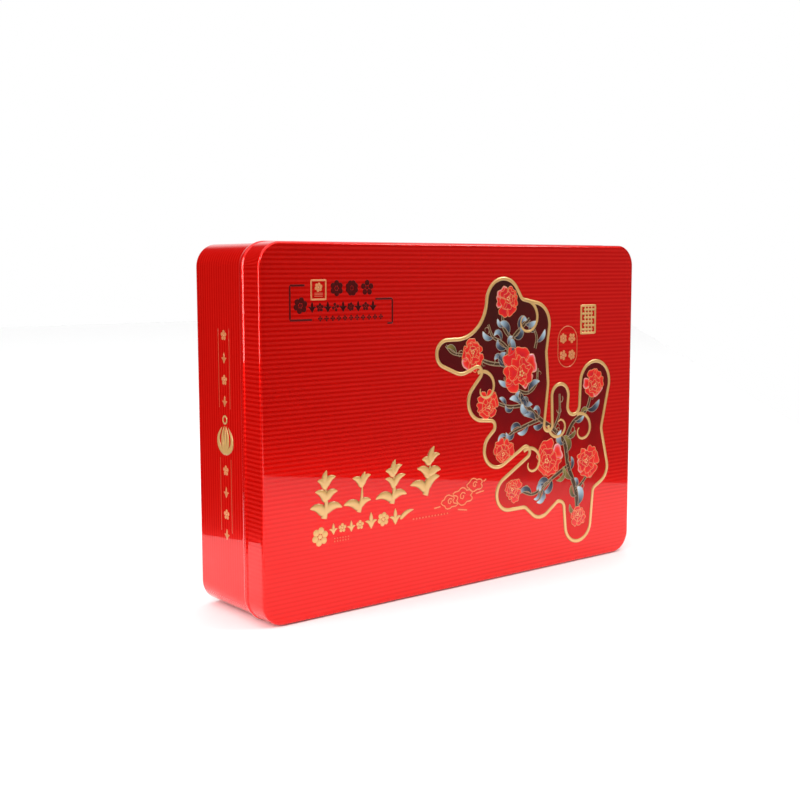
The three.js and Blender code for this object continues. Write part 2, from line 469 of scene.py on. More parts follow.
def ground_ink(name):
    """The cartouche's ground: maroon at the top, running into red towards its foot, in patches."""
    material, tree, shader, place = new_material(
        name, Coat_Weight=0.4, Coat_Roughness=0.05, Coat_IOR=1.39, Specular_IOR_Level=0.1
    )
    split = tree.nodes.new("ShaderNodeSeparateXYZ")
    tree.links.new(place, split.inputs[0])
    patch = noise_node(tree, place, 55.0, 2.0)
    low, span = 0.018, 0.132  # height of the foot, and from it to the top
    share = math_node(tree, "MULTIPLY_ADD", split.outputs["Z"], 1 / span, -low / span)
    stray = math_node(tree, "MULTIPLY_ADD", patch, 0.3, -0.15)
    factor = math_node(tree, "ADD", share, stray, clamp=True)
    colours = ramp(
        tree,
        factor,
        (0.0, (0.66, 0.006, 0.004)),
        (0.22, (0.50, 0.005, 0.004)),
        (0.42, (0.22, 0.004, 0.005)),
        (0.62, (0.105, 0.004, 0.006)),
        (0.82, (0.070, 0.007, 0.006)),
        (1.0, (0.045, 0.010, 0.008)),
    )
    tree.links.new(colours, shader.inputs["Base Color"])
    metallic = ramp(tree, factor, (0.1, (0.25,) * 3), (0.6, (0.1,) * 3))
    tree.links.new(metallic, shader.inputs["Metallic"])
    skin = placed_group(tree, SKIN, place, Waviness=0.15, Peel=0.0006)
    rough = math_node(tree, "MULTIPLY_ADD", skin["Mottle"], 0.06, 0.13)
    finish_surface(tree, shader, rough, skin["Height"])
    return material


LID_RED = red_litho("Red litho, lines across the lid", 1, from_sheet=True)
BODY_RED = red_litho("Red litho, lines round the body", 1, from_sheet=False)
TINPLATE = bare_tinplate("Bare tinplate")
GROUND = ground_ink("Maroon cartouche ink")
# The dark stop at tone 0 is painted shade: the shaded edge tone of raised gold strokes runs down to
# it.
GOLD = printed_ink(
    "Satin gold ink",
    [(0.0, (0.20, 0.09, 0.02)), (0.45, (0.78, 0.45, 0.15)), (1.0, (0.90, 0.60, 0.26))],
    0.45, 0.3,
)
FINE_GOLD = printed_ink(
    "Fine gold line ink",
    [(0.0, (0.55, 0.10, 0.035)), (0.5, (0.74, 0.28, 0.10)), (1.0, (0.82, 0.46, 0.2))],
    0.35, 0.35,
)
BLACK = printed_ink(
    "Black ink", [(0.0, (0.030, 0.001, 0.001)), (1.0, (0.10, 0.005, 0.004))], 0.0, 0.4, coat=0.2
)
PETAL = printed_ink(
    "Peony ink",
    [
        (0.0, (0.58, 0.006, 0.02)), (0.35, (0.80, 0.018, 0.012)), (0.6, (0.86, 0.05, 0.03)),
        (0.8, (0.78, 0.16, 0.2)), (1.0, (0.80, 0.55, 0.62)),
    ],
    0.1, 0.3, coat=0.6,
)
LEAF = printed_ink(
    "Leaf ink",
    [
        (0.0, (0.010, 0.010, 0.016)), (0.3, (0.05, 0.06, 0.09)), (0.6, (0.30, 0.42, 0.52)),
        (1.0, (0.72, 0.82, 0.88)),
    ],
    0.1, 0.35, coat=0.5,
)
OLIVE = printed_ink(
    "Olive leaf ink",
    [(0.0, (0.035, 0.025, 0.008)), (0.6, (0.22, 0.16, 0.035)), (1.0, (0.24, 0.34, 0.05))],
    0.1, 0.35, coat=0.5,
)
VINE = printed_ink(
    "Vine ink", [(0.0, (0.030, 0.010, 0.006)), (1.0, (0.09, 0.045, 0.020))], 0.1, 0.35, coat=0.4
)
PALE_LINE = printed_ink(
    "Pale line ink",
    [(0.0, (0.16, 0.10, 0.05)), (0.5, (0.32, 0.21, 0.11)), (1.0, (0.55, 0.55, 0.55))],
    0.2, 0.35, coat=0.5,
)


# ---------------------------------------------------------------- the tin's three sheets
def build_lid():
    """The lid: face, bend, skirt and rolled rim, printed outside and bare inside.

    The skirt flares into the rim by the smoothstep t * t * (3 - 2 * t).

    The sheet attribute is where each point lay before the sheet was drawn: its distance along the
    section from the corner's centre, laid out flat in the same direction.
    """
    skirt = CORNER_RADIUS - RIM_RISE
    bend_radius, bend_level = skirt - LID_BEND, FACE + LID_BEND
    roll_centre = (CORNER_RADIUS - RIM_ROLL, LID_RIM - RIM_ROLL)
    flare_start = LID_RIM - RIM_ROLL - RIM_FLAT - RIM_FLARE
    t = np.linspace(0, 1, 10)
    flare = np.column_stack([skirt + RIM_RISE * t * t * (3 - 2 * t), flare_start + RIM_FLARE * t])
    points, stretch = section(
        (0, FACE),
        (bend_radius - 2.5, FACE),
        arc(bend_radius, bend_level, LID_BEND, -QUARTER, 0, 12),
        (skirt, bend_level + 0.5),
        (skirt, flare_start - 0.5),
        flare,
        arc(*roll_centre, RIM_ROLL, 0, math.pi, 12),
        (CORNER_RADIUS - 2 * RIM_ROLL, LID_RIM - 1.6),
        (skirt - SHEET, LID_RIM - 1.8),
        arc(bend_radius, bend_level, LID_BEND - SHEET, 0, -QUARTER, 8),
        (0, FACE + SHEET),
    )
    stations = round_stations()
    grid = carried_round(points, stations)
    step = np.linalg.norm(np.diff(points, axis=0), axis=1)
    along = np.concatenate([[0], np.cumsum(step)])[None, :]
    flat_x = np.where(along == 0, 0, stations[:, 0:1] + along * stations[:, 2:3])
    flat_z = np.where(along == 0, 0, stations[:, 1:2] + along * stations[:, 3:4])
    # The third number smears the lines where the skirt is drawn round a corner.
    turned = 4 * np.minimum(stations[:, 2:3] ** 2, stations[:, 3:4] ** 2)
    down_skirt = np.clip((points[None, :, 1] - FACE) / (2 * LID_BEND), 0, 1)
    smear = np.clip(1.6 * turned, 0, 1) * down_skirt
    sheet = np.stack([flat_x, flat_z, smear], axis=-1).reshape(-1, 3)
    shell = Shell()
    shell.add(grid, wrap_rows=True, wrap_columns=False, kind=(stretch > 7).astype(int))
    piece = finished_mesh(
        "lid_shell",
        np.vstack(shell.points),
        np.vstack(shell.quads),
        [LID_RED, TINPLATE],
        kinds=np.concatenate(shell.kinds),
        sheet=sheet,
    )
    sharpened(piece, SHEET_CREASE)
    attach(piece, "lid")
    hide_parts("lid")


def build_body_wall():
    """The wrapped body: rolled front edge, bead behind the lid, and back edge folded over."""
    inner = WALL_RADIUS - SHEET
    wall_front = FACE + SHEET + LID_HEADROOM
    roll_centre = (WALL_RADIUS - ROLL_RADIUS, wall_front + ROLL_RADIUS)
    bead_level = LID_RIM + BEAD_BEHIND_LID + BEAD_WIDTH / 2
    fold_outer = 1.5 * SHEET + SEAM_GAP
    fold_centre = (WALL_RADIUS - fold_outer, BACK - fold_outer)
    leaf_end = BACK - SEAM_DEPTH
    points, stretch = section(
        ridge(WALL_RADIUS, bead_level, BEAD_HEIGHT, BEAD_WIDTH, 14),
        (WALL_RADIUS, bead_level + BEAD_WIDTH),
        (WALL_RADIUS, fold_centre[1] - 0.8),
        arc(*fold_centre, fold_outer, 0, math.pi, 12),
        (WALL_RADIUS - 2 * fold_outer, leaf_end),
        (WALL_RADIUS - 2 * fold_outer + SHEET, leaf_end),
        arc(*fold_centre, fold_outer - SHEET, math.pi, 0, 8),
        ridge(inner, bead_level, BEAD_HEIGHT, BEAD_WIDTH, 14)[::-1],
        arc(*roll_centre, ROLL_RADIUS - SHEET, 0, -ROLL_TURN, 16),
        arc(*roll_centre, ROLL_RADIUS, -ROLL_TURN, 0, 20),
    )
    seam_edge = SIDE_SEAM_WIDTH / 2
    dents = [(seam_edge - 0.3, 0), (seam_edge, 0.14), (seam_edge + 0.3, 0)]
    grid = carried_round(points, round_stations(dents))
    shell = Shell()
    shell.add(grid, wrap_rows=True, kind=((stretch > 4) & (stretch < 9)).astype(int))
    piece = shell_piece("body_wall_shell", shell, [BODY_RED, TINPLATE], "tin_body")
    sharpened(piece, SHEET_CREASE)
    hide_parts("body_wall")


def build_side_seam():
    """The lock seam inside the body: a strip whose thickness steps down at its folded edge.

    Across the strip the height is flat with quarter-round shoulders; at its ends it drops to the
    wall over a short ramp.
    """
    front = FACE + SHEET + LID_HEADROOM + 2 * ROLL_RADIUS + LID_CLEARANCE
    back = BACK - PLATE_RECESS - SHEET - GROOVE_DEPTH - LID_CLEARANCE
    floor = MIDDLE_Z - CENTRE_Z - WALL_RADIUS + SHEET
    half, thick = SIDE_SEAM_WIDTH / 2, SIDE_SEAM_THICKNESS
    across = np.array([
        (-half, -0.1), (-half, 0.35), (-half + 0.1, 0.52), (-half + 0.3, 0.6), (-half + 0.9, 0.6),
        (-half + 1.0, 0.72), (-half + 1.15, 0.86), (-half + 1.35, thick), (half - 0.3, thick),
        (half - 0.1, 0.8), (half, 0.6), (half, -0.1),
    ])
    levels = np.array([front, front, front + 0.4, back - 0.4, back, back])
    rise = np.array([0, 0.5, 1, 1, 0.5, 0])
    x = np.broadcast_to(across[None, :, 0], (len(levels), len(across)))
    z = floor - 0.1 + (across[None, :, 1] + 0.1) * rise[:, None]
    y = np.broadcast_to(levels[:, None], x.shape)
    shell = Shell()
    shell.add(np.stack([x, y, z], axis=-1))
    piece = shell_piece("side_seam", shell, [TINPLATE], "tin_body")
    sharpened(piece, SHEET_CREASE)


def build_bottom_plate():
    """The bottom plate: a flat pressing with a stiffening groove and a flange."""
    flange_outer = WALL_RADIUS - SHEET - SEAM_GAP
    flange_inner = flange_outer - SHEET
    flange_end = BACK - 1.5 * SHEET - SEAM_GAP
    plate_back = BACK - PLATE_RECESS
    plate_front = plate_back - SHEET

    def groove(level):
        return ridge(level, GROOVE_INSET, -GROOVE_DEPTH, GROOVE_WIDTH, 14)[:, ::-1]

    bend_centre = (flange_outer - PLATE_BEND, plate_front + PLATE_BEND)
    points, _ = section(
        (0, plate_front),
        groove(plate_front),
        arc(*bend_centre, PLATE_BEND, -QUARTER, 0, 6),
        (flange_outer, flange_end),
        (flange_inner, flange_end),
        arc(*bend_centre, PLATE_BEND - SHEET, 0, -QUARTER, 6),
        groove(plate_back)[::-1],
        (0, plate_back),
    )
    shell = Shell()
    shell.add(carried_round(points, round_stations()), wrap_rows=True, wrap_columns=False)
    piece = shell_piece("bottom_plate_shell", shell, [TINPLATE], "tin_body")
    sharpened(piece, SHEET_CREASE)
    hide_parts("bottom_plate")


# ---------------------------------------------------------------- printed relief
class Wall:
    """A flat wall that ornament is printed on: across and up on it, and out from it."""

    def __init__(self, origin, across, out):
        self.origin, self.across, self.out = (np.array(v, float) for v in (origin, across, out))

    def place(self, u, v, h):
        up = np.array([0.0, 0.0, 1.0])
        return (
            self.origin
            + u[..., None] * self.across
            + v[..., None] * up
            + h[..., None] * self.out
        )


LID_FACE = Wall((0, FACE, 0), (1, 0, 0), (0, -1, 0))
LEFT_END = Wall((-WALL_X, 0, 0), (0, -1, 0), (-1, 0, 0))
RIGHT_END = Wall((WALL_X, 0, 0), (0, 1, 0), (1, 0, 0))
ROOT = 0.08  # how far a printed stroke's foot reaches below the level it is printed on

# A stroke's rounded section: (share of the half width, share of the height); the foot is sunk.
STROKE_SECTION = np.array([
    (-1, -9), (-1, 0.0), (-0.93, 0.42), (-0.75, 0.74), (-0.4, 0.95), (0, 1.0),
    (0.4, 0.95), (0.75, 0.74), (0.93, 0.42), (1, 0.0), (1, -9),
])
ROOT_MARK = -9
SHADED_EDGE_TONE = 0.62 * (1 - np.abs(STROKE_SECTION[:, 0]) ** 3)  # tone across a stroke: painted shade, dark at its edges where the raised stroke falls away


def smooth(points, closed=False, steps=10):
    """A Catmull-Rom curve: half of 2b + (c-a)t + (2a-5b+4c-d)t^2 + (3b-a-3c+d)t^3."""
    p = np.asarray(points, float)
    if closed:
        p = np.vstack([p[-1:], p, p[:2]])
    else:
        p = np.vstack([2 * p[0] - p[1], p, 2 * p[-1] - p[-2]])
    a, b, c, d = p[:-3, None], p[1:-2, None], p[2:-1, None], p[3:, None]
    t = (np.arange(steps) / steps)[None, :, None]
    curve = 0.5 * (
        2 * b + (c - a) * t + (2 * a - 5 * b + 4 * c - d) * t**2 + (3 * b - a - 3 * c + d) * t**3
    )
    curve = curve.reshape(-1, 2)
    return curve if closed else np.vstack([curve, p[-2:-1]])


def spiral(centre, start_radius, end_radius, start, turn, steps=36):
    """Points whose radius shrinks evenly from start to end as the angle turns, in degrees."""
    t = np.linspace(0, 1, steps)
    angle = np.radians(start + turn * t)
    radius = start_radius + (end_radius - start_radius) * t
    return np.asarray(centre) + radius[:, None] * np.column_stack([np.cos(angle), np.sin(angle)])


def heading_of(angle):
    """The unit vector at an angle."""
    return np.array([math.cos(angle), math.sin(angle)])


def turned_and_moved(along, across, angle, origin):
    """Points given along and across a direction, turned to that angle and moved to an origin."""
    cos, sin = math.cos(angle), math.sin(angle)
    x = origin[0] + along * cos - across * sin
    return np.column_stack([x, origin[1] + along * sin + across * cos])


def ring(centre, radius, steps):
    angle = np.linspace(0, 2 * np.pi, steps, endpoint=False)
    return np.asarray(centre) + radius * np.column_stack([np.cos(angle), np.sin(angle)])


def belt(pegs, spacing=0.6):
    """A belt round pegs (x, z, radius), turning left, or right where the radius is negative.

    Between two pegs it runs along the line that touches both: its right-hand normal makes the angle
    acos((radius - next radius) / distance) with the line of centres. Round a peg it is an arc.
    """
    pegs = np.asarray(pegs, float)
    following = np.roll(pegs, -1, axis=0)
    gap = following[:, :2] - pegs[:, :2]
    heading = np.arctan2(gap[:, 1], gap[:, 0])
    leaving = heading - np.arccos((pegs[:, 2] - following[:, 2]) / np.hypot(*gap.T))
    arriving = np.roll(leaving, 1)
    stretches = []
    for (x, z, radius), first, last in zip(pegs, arriving, leaving):
        turn = (last - first) % (2 * np.pi)
        if radius < 0:
            turn -= 2 * np.pi
        count = max(4, int(abs(turn * radius) / spacing))
        angle = first + turn * np.linspace(0, 1, count)
        stretches.append(np.column_stack([x + radius * np.cos(angle), z + radius * np.sin(angle)]))
    return evenly(np.vstack(stretches), closed=True, spacing=spacing)


def evenly(path, closed=False, spacing=None, count=None, ends_dense=False):
    """The same path, resampled at even steps, or at steps that close up towards both ends."""
    path = np.vstack([path, path[:1]]) if closed else path
    step = np.linalg.norm(np.diff(path, axis=0), axis=1)
    along = np.concatenate([[0], np.cumsum(step)])
    count = count or max(8, int(along[-1] / spacing))
    t = np.linspace(0, 1, count, endpoint=not closed)
    if ends_dense:
        t = (1 - np.cos(np.pi * t)) / 2
    return np.column_stack([np.interp(t * along[-1], along, path[:, k]) for k in range(2)])


def normals_of(path, closed):
    """Unit normals to the left of travel, from the neighbours on both sides."""
    if closed:
        travel = np.roll(path, -1, axis=0) - np.roll(path, 1, axis=0)
    else:
        travel = np.gradient(path, axis=0)
    travel /= np.maximum(np.linalg.norm(travel, axis=1, keepdims=True), 1e-9)
    return np.column_stack([-travel[:, 1], travel[:, 0]])


def stroke(shell, path, half_width, height, level=0.0, closed=False, tone=0.5, count=None):
    """A raised printed stroke: the rounded section carried along a path.

    half_width is a number, or a function of the share t of the way along. An open stroke of even
    width has half-round ends: its half width is w * sqrt(1 - (1 - d / w)^2) within w of an end.
    """
    length = np.linalg.norm(np.diff(path, axis=0), axis=1).sum()
    if closed:
        path = evenly(path, closed=True, count=count or max(12, int(length / 0.8)))
        width = np.full(len(path), float(half_width))
    else:
        path = evenly(path, count=count or max(10, int(length / 0.9)), ends_dense=True)
        t = (1 - np.cos(np.pi * np.linspace(0, 1, len(path)))) / 2
        if callable(half_width):
            width = half_width(t)
        else:
            near_end = np.clip(np.minimum(t, 1 - t) * length / half_width, 0, 1)
            width = half_width * np.sqrt(1 - (1 - near_end) ** 2)
    width = np.maximum(width, 0)
    side = normals_of(path, closed)
    across, rise = STROKE_SECTION[:, 0], STROKE_SECTION[:, 1]
    low = rise == ROOT_MARK
    share = np.clip(width / max(width.max(), 1e-9) * 1.6, 0, 1)
    u = path[:, 0:1] - side[:, 0:1] * width[:, None] * across
    v = path[:, 1:2] - side[:, 1:2] * width[:, None] * across
    lift = np.where(low, -ROOT, rise * height)
    if not closed:
        end = (width < 1e-6)[:, None]
        lift = np.where(end, 0, np.where(low, -ROOT, rise * height * share[:, None]))
    h = level + np.broadcast_to(lift, u.shape)
    tones = tone(t)[:, None] if callable(tone) else tone
    shell.add(shell.wall.place(u, v, h), wrap_rows=closed, tone=tones)


def dome(shell, outline, middle, height, level=0.0, tone=(0.5, 0.5), edge=0.35):
    """A raised patch: the outline shrunk towards its middle, rising as 1 - (share out)^3.

    tone runs from the middle to the outline.
    """
    share = np.array([0, 0.3, 0.55, 0.75, 0.9, 1.0, 1.0, 0.0])
    rise = height * (edge + (1 - edge) * (1 - share**3))
    rise[-2:] = -ROOT
    middle = np.asarray(middle, float)
    points = middle + share[:, None, None] * (outline - middle)[None]
    h = level + np.broadcast_to(rise[:, None], points.shape[:2])
    tones = np.broadcast_to((tone[0] + (tone[1] - tone[0]) * share**1.5)[:, None], h.shape)
    shell.add(shell.wall.place(points[..., 0], points[..., 1], h), tone=tones)


def leaf_boundary(path, half_width, count=18):
    """The closed edge of a leaf: the path offset to the left going out, to the right coming back."""
    path = evenly(path, count=count, ends_dense=True)
    t = (1 - np.cos(np.pi * np.linspace(0, 1, count))) / 2
    side = normals_of(path, False) * half_width(t)[:, None]
    return np.vstack([path + side, (path - side)[-2:0:-1]])


# ---------------------------------------------------------------- the cloud cartouche
CLOUD_PEGS = [
    (22, 138, 11),
    (-8, 139.5, -19),
    (-14, 114, 6.5),
    (-5, 113, 9),
    (5, 104, -3),
    (9, 90, 9.5),
    (14, 77, -3),
    (19, 65.5, 9),
    (38, 62, -3),
    (27, 42.5, 8.5),
    (37, 31, -3),
    (49, 36, 8.5),
    (62.5, 30, -4),
    (77, 20.5, 9.5),
    (91, 36, -3),
    (90, 49, 9),
    (102, 70, -8),
    (88.5, 94.5, 11),
    (72.5, 83, -4.5),
    (62.5, 89, 6),
    (54, 74.5, -3),
    (42.5, 96, 11),
    (56, 112, -4),
    (43, 126, 11),
    (36.5, 141.5, -3),
]
GROUND_LEVEL = 0.12
VINE_LEVEL = 0.14
LEAF_LEVEL = 0.17
PETAL_LEVEL = 0.19
OUTLINE_HALF_WIDTH = 1.0


def flat_plate(name, wall, outline, low, high, material, body):
    """A flat plate inside an outline: its top, its underside and a band round its edge."""
    count = len(outline)
    level = np.repeat([high, low], count)
    both = np.vstack([outline, outline])
    points = wall.place(both[:, 0], both[:, 1], level)
    top = np.arange(count)
    under = np.arange(count, 2 * count)[::-1]
    ends = np.roll(top, -1)
    band = np.column_stack([top, top + count, ends + count, ends])
    piece = finished_mesh(name, points, [top, under, *band], [material])
    sharpened(piece, PRINT_CREASE)
    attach(piece, body)


def petal_outline(centre, angle, start, length, width, notch, ruffle):
    """A petal: radially (1 - cos t) / 2, across sin t, widened outwards, with a notched tip."""
    t = np.linspace(0, 2 * np.pi, 30, endpoint=False)
    out = (1 - np.cos(t)) / 2
    across = 0.5 * width * np.sin(t) * (0.55 + 0.6 * out)
    tip = np.exp(-(((t - np.pi) / 0.3) ** 2))
    along = start + length * (out - notch * tip) * (1 + ruffle * np.sin(6 * t + angle * 5))
    across *= 1 + ruffle * np.cos(7 * t + angle * 3)
    return turned_and_moved(along, across, angle, centre)


def peony(petals, lines, stamens, centre, radius, seed, pink=0.0):
    """Rings of overlapping petals, each with a fine gold edge, the inner rings lying on the outer.

    The inner rings sit a little to one side, so that the flower seems to look that way.
    """
    chance = np.random.default_rng(seed)
    looks = chance.uniform(0, 2 * np.pi)
    rings = [
        (6, 0.24, 0.72, 0.92, 0.0, 0.52, 0.0),
        (5, 0.08, 0.56, 0.78, 0.03, 0.42, 0.12),
        (3, -0.06, 0.40, 0.56, 0.06, 0.3, 0.2),
    ]
    for number, (count, start, length, width, lift, tone, aside) in enumerate(rings):
        turn = chance.uniform(0, 2 * np.pi)
        middle_x, middle_z = centre + aside * radius * heading_of(looks)
        for k in range(count):
            angle = turn + 2 * np.pi * k / count + chance.uniform(-0.2, 0.2)
            reach = length * chance.uniform(0.8, 1.1)
            outline = petal_outline(
                (middle_x, middle_z), angle, start * radius, reach * radius,
                width * radius * chance.uniform(0.82, 1.12), chance.uniform(0.05, 0.2), 0.05,
            )
            level = PETAL_LEVEL + lift + 0.004 * (k % 3)
            blush = number == 0 and chance.uniform() < pink
            tip = 1.0 if blush else tone + chance.uniform(-0.2, 0.12)
            tones = (chance.uniform(0.0, 0.3), tip)
            dome(petals, outline, outline.mean(axis=0), 0.05, level, tones, edge=0.5)
            stroke(lines, outline, 0.14, 0.07, level, closed=True, tone=0.5, count=30)
    for k in range(5):
        spot = (middle_x, middle_z) + 0.1 * radius * heading_of(2 * np.pi * k / 5)
        level = PETAL_LEVEL + 0.09
        dome(stamens, ring(spot, 0.045 * radius, 10), spot, 0.05, level, tone=(0.9, 0.6))


def curled_leaf(leaves, lines, points, half_width, dark=0.0, pale=1.0):
    """A leaf that swells, curls and ends in a round tip, darker at its stalk, with a pale edge."""
    path = smooth(points)

    def width(t):
        return half_width * np.sin(np.pi * np.clip(t, 0, 1) ** 1.2) ** 0.8

    stroke(leaves, path, width, 0.06, LEAF_LEVEL, tone=lambda t: dark + (pale - dark) * t**1.6)
    edge = leaf_boundary(path, width)
    stroke(lines, edge, 0.12, 0.08, LEAF_LEVEL, closed=True, tone=0.6, count=30)


def vine(stems, lines, path, half_width):
    """A winding stem: a dark band between two pale lines, tapering to its tip."""
    t = np.linspace(0, 1, len(path))
    side = normals_of(path, False) * (half_width * (1 - 0.45 * t))[:, None]
    stroke(stems, path, lambda s: half_width * (1 - 0.45 * s) * (s > 0) * (s < 1), 0.05, VINE_LEVEL)
    for edge in (path + side, path - side):
        stroke(lines, edge, 0.24, 0.08, VINE_LEVEL, tone=0.5)


def clear_inside(outline, points, margin):
    """Whether points all lie inside an outline, at least the margin away from it."""
    following = np.roll(outline, -1, axis=0)
    for x, z in points:
        crosses = (outline[:, 1] > z) != (following[:, 1] > z)
        rise = np.where(crosses, following[:, 1] - outline[:, 1], 1.0)
        meets = outline[:, 0] + (z - outline[:, 1]) * (following[:, 0] - outline[:, 0]) / rise
        if (crosses & (meets > x)).sum() % 2 == 0:
            return False
        if np.hypot(outline[:, 0] - x, outline[:, 1] - z).min() < margin:
            return False
    return True


def leafy(path, outline, flowers, chance, spacing=5):
    """Leaves and tendrils for a stem: on alternate sides, wherever they stay clear of the rest.

    Returns the leaves as (points, half width) and the tendrils as paths.
    """
    leaves, tendrils = [], []
    side = 1 if chance.uniform() < 0.5 else -1
    tangent = np.gradient(path, axis=0)
    for at in range(3, len(path) - 2, spacing):
        side = -side
        heading = math.atan2(tangent[at, 1], tangent[at, 0]) + side * chance.uniform(0.7, 1.2)
        size = chance.uniform(6.5, 12.5)
        curl = side * chance.uniform(0.4, 1.1)
        points = [path[at]]
        for step in (0.34, 0.33, 0.33):
            points.append(points[-1] + step * size * heading_of(heading))
            heading -= curl * chance.uniform(0.6, 1.4)
        hidden = any(math.dist(points[2], middle) < 0.9 * radius for middle, radius, _ in flowers)
        if clear_inside(outline, points[1:], 2.4) and not hidden:
            leaves.append((points, size * chance.uniform(0.12, 0.17)))
            continue
        turn = chance.uniform(0, 360)
        centre = path[at] + 2.2 * heading_of(heading)
        tendril = spiral(centre, 2.2, 0.5, turn, -side * 330, 24)
        if clear_inside(outline, tendril[::4], 1.6):
            tendrils.append(tendril)
    return leaves, tendrils


def build_cartouche():
    outline = belt(CLOUD_PEGS)
    flat_plate(
        "cartouche_ground", LID_FACE, outline, -ROOT, GROUND_LEVEL, GROUND, "lid"
    )

    gold = Shell(LID_FACE)
    # The gold outline and scrolls carry painted shade along their edges, from the shaded edge tone.
    stroke(gold, outline, OUTLINE_HALF_WIDTH, RELIEF, closed=True, tone=SHADED_EDGE_TONE, count=len(outline))
    scrolls = [
        spiral((9.5, 96), 9.0, 2.2, 118, -300),
        spiral((42, 56), 8.5, 1.8, 128, -320),
        spiral((62, 74), 8.0, 1.6, 178, 300),
        spiral((78.5, 70), 9.0, 1.8, 112, -330),
        spiral((37.5, 128.5), 10.0, 2.2, 96, -330),
    ]
    for path in scrolls:
        stroke(gold, path, lambda t: 0.8 * (1 - t) ** 0.4 * (t > 0) + 0.2 * (t > 0) * (t < 1), 0.2,
               GROUND_LEVEL, tone=SHADED_EDGE_TONE)
    shell_piece("cartouche_gold", gold, [GOLD], "lid")

    petals, petal_lines, stamens = (Shell(LID_FACE) for _ in range(3))
    flowers = [  # middle, radius, share of outer petals with a pink tip
        ((24, 138), 8.6, 0.1),
        ((2, 112.5), 8.4, 0.2),
        ((33, 104), 12.8, 0.7),
        ((12, 88), 7.6, 0.1),
        ((23, 64), 7.4, 0.1),
        ((55, 57), 10.6, 0.15),
        ((87.5, 94), 8.6, 0.4),
        ((84, 52), 9.4, 0.1),
        ((30, 43.5), 6.4, 0.0),
        ((77, 24), 6.0, 0.0),
    ]
    for seed, (centre, radius, pink) in enumerate(flowers):
        peony(petals, petal_lines, stamens, centre, radius, seed + 11, pink)
    shell_piece("peony_petals", petals, [PETAL], "lid")
    shell_piece("peony_edges", petal_lines, [FINE_GOLD], "lid")
    shell_piece("peony_stamens", stamens, [GOLD], "lid")

    stems, pale_lines, leaves, olive = (Shell(LID_FACE) for _ in range(4))
    vines = [
        (
            [
                (77, 22), (75, 38), (69, 52), (66, 64), (58, 72), (48, 78), (38, 86), (30, 95),
                (25, 107), (28, 119), (40, 129),
            ],
            1.35,
        ),
        ([(66, 64), (72, 74), (82, 80), (86, 90)], 1.15),
        ([(75, 38), (82, 44), (88, 52)], 0.8),
        ([(48, 78), (36, 75), (27, 72), (20, 66)], 0.9),
        ([(25, 107), (14, 108), (2, 112), (-10, 114), (-15, 118)], 0.9),
        ([(38, 86), (26, 86), (14, 90)], 0.8),
        ([(69, 52), (56, 46), (44, 40), (32, 44)], 0.9),
        ([(28, 119), (22, 126), (22, 138)], 0.9),
        ([(58, 72), (62, 80), (62, 90)], 0.7),
        ([(27, 113), (21, 118), (15, 121), (12, 127)], 0.8),
        ([(31, 94), (39, 92), (45, 96), (46, 104)], 0.8),
        ([(44, 114), (45, 120), (41, 127)], 0.7),
        ([(58, 47), (50, 41), (48, 35)], 0.7),
    ]
    chance = np.random.default_rng(5)
    number = 0
    for points, width in vines:
        path = evenly(smooth(points), spacing=1.0)
        vine(stems, pale_lines, path, width)
        grown, tendrils = leafy(path, outline, flowers, chance)
        for leaf, half_width in grown:
            number += 1
            lower_right = leaf[0][0] > 62 and leaf[0][1] < 78
            green_tip = leaf[0][0] < -6
            shell = olive if green_tip or lower_right and number % 2 else leaves
            pale = 0.9 if green_tip else 0.7 + 0.3 * (number % 3) / 2
            curled_leaf(shell, pale_lines, leaf, half_width, dark=0.12 * (number % 3), pale=pale)
        for tendril in tendrils:
            stroke(pale_lines, tendril, tapered(0.28, 0.5), 0.08, GROUND_LEVEL, tone=0.5)
    shell_piece("vine_stems", stems, [VINE], "lid")
    shell_piece("vine_leaves", leaves, [LEAF], "lid")
    shell_piece("olive_leaves", olive, [OLIVE], "lid")
    shell_piece("vine_and_leaf_edges", pale_lines, [PALE_LINE], "lid")


# ---------------------------------------------------------------- smaller ornament
def tapered(half_width, tail=0.35):
    """A brush stroke's half width: quickly up from its start, slowly down to a fine tail."""

    def width(t):
        return half_width * np.sin(np.pi * np.clip(t, 0, 1) ** tail) ** 0.7

    return width


def brushed_leaf(shell, foot, degrees, length, half_width, bend, height=0.3, tone=SHADED_EDGE_TONE):
    """A leaf-shaped brush stroke from its foot, bowed sideways by a share of its length."""
    local = np.array([(0, 0), (0.35, bend), (0.7, bend * 0.9), (1.0, 0)]) * length
    points = turned_and_moved(local[:, 0], local[:, 1], math.radians(degrees), foot)
    stroke(shell, smooth(points), tapered(half_width, 0.62), height, tone=tone)


def tea_shoot(shell, foot, lean, size, pairs, seed):
    """A tea shoot in brush strokes: a bowed stem, pairs of leaves that shrink upwards, and a bud."""
    chance = np.random.default_rng(seed)
    sway = math.cos(math.radians(lean))
    bow = np.array([(0, 0), (0.18 * sway + 0.05, 0.32), (0.5 * sway, 0.8)])
    stem = smooth(foot + size * bow)
    stroke(shell, stem, lambda t: 0.075 * size * (1.15 - t) * (t > 0), 0.3, tone=SHADED_EDGE_TONE)
    stem = evenly(stem, count=20)
    for k in range(pairs):
        at = stem[2 + int(k * 14 / max(pairs - 1, 1))]
        half_width = (0.12 - 0.012 * k) * size
        for angle, bend, lift in ((162 - 14 * k, -0.2, 0.0), (20 + 12 * k, 0.2, 0.05)):
            reach = size * (0.5 - 0.09 * k) * chance.uniform(0.85, 1.12)
            brushed_leaf(shell, at + (0.0, lift * size), angle + chance.uniform(-14, 14),
                         reach, half_width * chance.uniform(0.8, 1.1), bend)
    brushed_leaf(shell, stem[-1] - (0, 0.05 * size), lean, 0.36 * size, 0.09 * size, 0.1)


